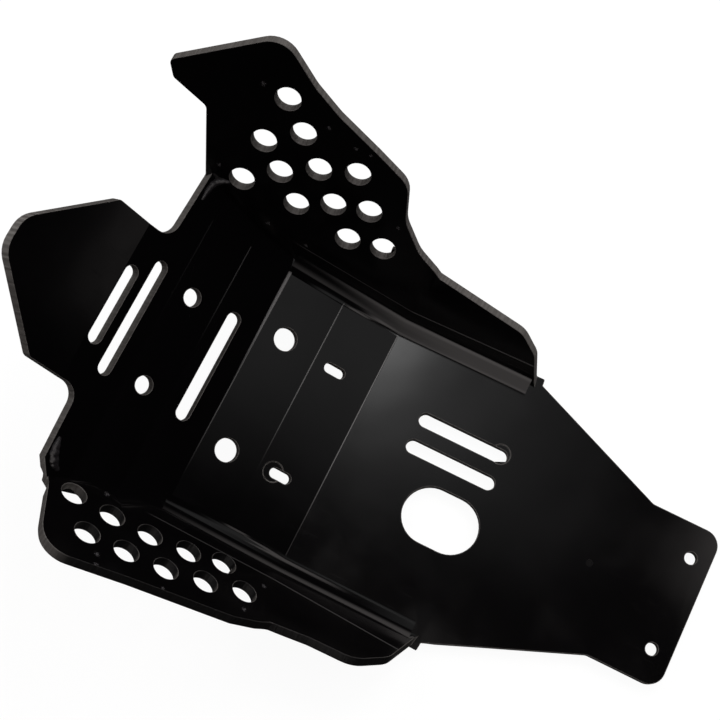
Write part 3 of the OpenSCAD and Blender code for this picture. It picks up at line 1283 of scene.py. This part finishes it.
@dataclass
class Studio:
    """World, lamps and floor."""

    boxes: tuple[SoftBox, ...]
    ambient: float = 0.008
    floor_size: float = 6.0
    floor_drop: float = 0.6 * MM
    shadow: float = 0.06
    pale: tuple[float, float, float, float] = (0.8, 0.8, 0.8, 1.0)
    dark: tuple[float, float, float, float] = (0.02, 0.02, 0.02, 1.0)

    @staticmethod
    def build_box_group() -> bpy.types.NodeTree:
        """Build the mask of a soft box in the direction that a ray leaves in.

        Returns:
            The node group.
        """
        nodes, given, end = new_group(
            "soft_box",
            {
                "Direction": ("NodeSocketVector", (0.0, 0.0, 1.0)),
                "Axis": ("NodeSocketVector", (0.0, 0.0, 1.0)),
                "X Axis": ("NodeSocketVector", (1.0, 0.0, 0.0)),
                "Y Axis": ("NodeSocketVector", (0.0, 1.0, 0.0)),
                "Low": ("NodeSocketVector", (-0.1, -0.1, 0.0)),
                "High": ("NodeSocketVector", (0.1, 0.1, 0.0)),
                "Fade Low": ("NodeSocketVector", (0.1, 0.1, 0.0)),
                "Fade High": ("NodeSocketVector", (0.1, 0.1, 0.0)),
            },
            {"Mask": "NodeSocketFloat"},
        )
        ahead = nodes.vector_math("DOT_PRODUCT", given["Direction"], given["Axis"]).outputs["Value"]
        safe = nodes.math("MAXIMUM", ahead, 0.001)
        mask: object = nodes.smooth_step(ahead, 0.0, 0.05)
        parts = {}
        for label in ("Low", "High", "Fade Low", "Fade High"):
            parts[label] = nodes.add("ShaderNodeSeparateXYZ").outputs
            nodes.feed(parts[label][0].node.inputs[0], given[label])
        for k, label in enumerate(("X Axis", "Y Axis")):
            part = nodes.vector_math("DOT_PRODUCT", given["Direction"], given[label])
            place = nodes.math("DIVIDE", part.outputs["Value"], safe)
            below = nodes.math("SUBTRACT", parts["Low"][k], place)
            above = nodes.math("SUBTRACT", place, parts["High"][k])
            for over, fade in ((below, parts["Fade Low"][k]), (above, parts["Fade High"][k])):
                share = nodes.math("DIVIDE", over, fade)
                mask = nodes.math("MULTIPLY", mask, nodes.smooth_step(share, 1.0, 0.0))
        nodes.feed(end.inputs["Mask"], mask)
        return nodes.tree

    def build_world(self) -> None:
        """Set up the world, white behind the plate to the camera and dark with soft boxes to the rest."""
        world = bpy.data.worlds.new("studio")
        bpy.context.scene.world = world
        world.use_nodes = True
        nodes = NodeBuilder(world.node_tree)
        nodes.tree.nodes.clear()
        group = self.build_box_group()
        direction = nodes.add("ShaderNodeTexCoord").outputs["Generated"]
        total: bpy.types.NodeSocket = nodes.add("ShaderNodeRGB").outputs[0]
        total.default_value = (self.ambient, self.ambient, self.ambient, 1.0)
        for box in self.boxes:
            axis, first, second = box.axes()
            mask = nodes.group(
                group,
                Direction=direction,
                Axis=axis,
                X_Axis=first,
                Y_Axis=second,
                Low=(box.x[0], box.y[0], 0.0),
                High=(box.x[1], box.y[1], 0.0),
                Fade_Low=(box.fade_x[0], box.fade_y[0], 1.0),
                Fade_High=(box.fade_x[1], box.fade_y[1], 1.0),
            )
            tint = tuple(box.strength * c for c in box.colour)
            light = nodes.vector_math("SCALE", tint)
            nodes.feed(light.inputs["Scale"], mask.outputs[0])
            total = nodes.vector_math("ADD", total, light.outputs[0]).outputs[0]
        camera_ray = nodes.add("ShaderNodeLightPath").outputs["Is Camera Ray"]
        seen = nodes.mix(camera_ray, total, (1.0, 1.0, 1.0, 1.0))
        background = nodes.add("ShaderNodeBackground")
        nodes.feed(background.inputs["Color"], seen)
        output = nodes.add("ShaderNodeOutputWorld")
        nodes.feed(output.inputs["Surface"], background.outputs[0])
        log.info("world: %d soft boxes", len(self.boxes))

    @staticmethod
    def build_lamps() -> None:
        """Set up the broad lamps that light cut edges and the floor."""
        for lamp in (
            Lamp("overhead", Vector((0.1, -1.25, 1.15)), 30.0),
            Lamp("front_fill", Vector((1.5, -0.2, 0.7)), 15.0),
            Lamp("rear_fill", Vector((-1.0, -0.8, 0.9)), 15.0),
        ):
            lamp.build()

    def build_floor(self) -> bpy.types.Object:
        """Lay the pale floor, white to the camera with a faint shadow and dark in reflections.

        Returns:
            The floor's object.
        """
        shape = bmesh.new()
        bmesh.ops.create_grid(shape, x_segments=1, y_segments=1, size=self.floor_size)
        bmesh.ops.translate(shape, vec=(PLATE_MIDDLE.x, 0.0, -self.floor_drop), verts=shape.verts)
        floor = mesh_object("studio_floor", shape)
        material = bpy.data.materials.new("pale_floor")
        material.use_nodes = True
        nodes = NodeBuilder(material.node_tree)
        nodes.tree.nodes.clear()
        white = nodes.add("ShaderNodeEmission")
        white.inputs["Color"].default_value = (1.0, 1.0, 1.0, 1.0)
        pale = nodes.add("ShaderNodeBsdfDiffuse")
        pale.inputs["Color"].default_value = self.pale
        dark = nodes.add("ShaderNodeBsdfDiffuse")
        dark.inputs["Color"].default_value = self.dark
        shadowed = nodes.add("ShaderNodeMixShader")
        shadowed.inputs["Fac"].default_value = self.shadow
        nodes.feed(shadowed.inputs[1], white.outputs[0])
        nodes.feed(shadowed.inputs[2], pale.outputs[0])
        chosen = nodes.add("ShaderNodeMixShader")
        path = nodes.add("ShaderNodeLightPath")
        nodes.feed(chosen.inputs["Fac"], path.outputs["Is Camera Ray"])
        nodes.feed(chosen.inputs[1], dark.outputs[0])
        nodes.feed(chosen.inputs[2], shadowed.outputs[0])
        output = nodes.add("ShaderNodeOutputMaterial")
        nodes.feed(output.inputs["Surface"], chosen.outputs[0])
        floor.data.materials.append(material)
        log.info("floor laid")
        return floor


@dataclass(frozen=True)
class PhotoCamera:
    """The photograph's camera, found from the plate's corners and holes."""

    place: tuple[float, float, float] = (0.18551, 0.20035, 1.17085)
    right: tuple[float, float, float] = (-0.89875, -0.43532, 0.05181)
    down: tuple[float, float, float] = (-0.43262, 0.86156, -0.26551)
    away: tuple[float, float, float] = (0.07094, -0.26104, -0.96272)
    focal_px: float = 1500.5
    centre_px: tuple[float, float] = (420.598, 322.979)
    picture_px: float = 720.0
    sensor_mm: float = 36.0
    nearest: float = 10 * MM

    def build(self) -> bpy.types.Object:
        """Set up the camera.

        Returns:
            The camera's object.
        """
        data = bpy.data.cameras.new("photo_camera")
        data.sensor_fit = "AUTO"
        data.sensor_width = self.sensor_mm
        data.lens = self.focal_px * self.sensor_mm / self.picture_px
        half = self.picture_px / 2
        data.shift_x = (half - self.centre_px[0]) / self.picture_px
        data.shift_y = (self.centre_px[1] - half) / self.picture_px
        data.clip_start = self.nearest
        camera = bpy.data.objects.new("photo_camera", data)
        columns = Matrix((self.right, -Vector(self.down), -Vector(self.away))).transposed()
        camera.matrix_world = Matrix.Translation(self.place) @ columns.to_4x4()
        bpy.context.scene.collection.objects.link(camera)
        bpy.context.scene.camera = camera
        log.info("camera: lens %.1f mm", data.lens)
        return camera


# the lights that the sheet mirrors
SOFT_BOXES = (
    SoftBox("key", ZENITH, (0.11, 0.16), (-0.33, -0.27), (0.07, 0.08), (0.09, 0.09), 5.0),
    SoftBox("glow", ZENITH, (0.12, 0.16), (-0.32, -0.24), (0.15, 0.15), (0.14, 0.14), 0.35),
    SoftBox("floor_band", ZENITH, (0.03, 0.37), (-1.0, -0.20), (0.17, 0.18), (0.3, 0.09), 0.38),
    SoftBox("tail_card", ZENITH, (-0.34, -0.175), (-0.6, -0.215), (0.02, 0.015), (0.05, 0.045), 1.3, WARM),
    SoftBox("strip_band", ZENITH, (-0.57, -0.49), (-0.96, -0.26), (0.25, 0.27), (0.1, 0.15), 0.4),
    SoftBox("right_bend", RIGHT_BEND, (-0.12, 0.5), (-1.06, 0.40), (0.20, 0.4), (0.06, 0.10), 1.0, WARM),
    SoftBox("right_bend_rim", RIGHT_BEND, (-0.08, 0.5), (0.27, 0.38), (0.2, 0.4), (0.15, 0.1), 0.6, WARM),
    SoftBox(
        "right_bend_foot", RIGHT_BEND, (-0.1, 0.5), (-1.06, -0.95), (0.3, 0.4), (0.06, 0.3), 0.5, WARM
    ),
    SoftBox("bend_front", RIGHT_BEND, (-0.45, -0.3), (-1.0, -0.55), (0.25, 0.2), (0.07, 0.6), 0.55, WARM),
    SoftBox(
        "bend_front_foot", ZENITH, (-0.36, -0.26), (-0.12, 0.05), (0.09, 0.06), (0.05, 0.15), 1.0, WARM
    ),
    SoftBox("left_line", LEFT_BEND, (-0.05, 0.5), (-0.90, -0.50), (0.35, 0.4), (0.35, 0.30), 1.0, WARM),
    SoftBox("nose_card", NOSE, (-0.3, 0.02), (0.012, 0.2), (0.1, 0.035), (0.018, 0.2), 0.24, WARM),
    SoftBox("front_wall", FRONT, (-0.6, 0.6), (-0.25, 0.25), (0.5, 0.5), (0.3, 0.3), 0.5),
)


def main() -> None:
    """Build the plate, its beads and the studio round it."""
    logging.basicConfig(level=logging.INFO, format="%(name)s: %(message)s")
    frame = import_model()
    bpy.context.scene.view_settings.view_transform = "Standard"

    effects = SharedEffects()
    plate = PlateBody(frame["nodes"][NODE], effects).build()
    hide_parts(NODE)
    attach(plate, BODY)

    melted = MilledEdge(
        effects,
        colour=(0.004, 0.0035, 0.004, 1.0),
        streak_colour=(0.020, 0.018, 0.019, 1.0),
        roughness=0.22,
    ).build()
    right_bead = WeldBead("right_bead", mm_path(RIGHT_BEAD)).build(melted)
    left_bead = WeldBead("left_bead", mm_path(LEFT_BEAD), radius=4.2 * MM).build(melted)
    for bead in (right_bead, left_bead):
        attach(bead, BODY)

    studio = Studio(SOFT_BOXES)
    studio.build_world()
    studio.build_lamps()
    studio.build_floor()
    PhotoCamera().build()


if __name__ == "__main__":
    main()
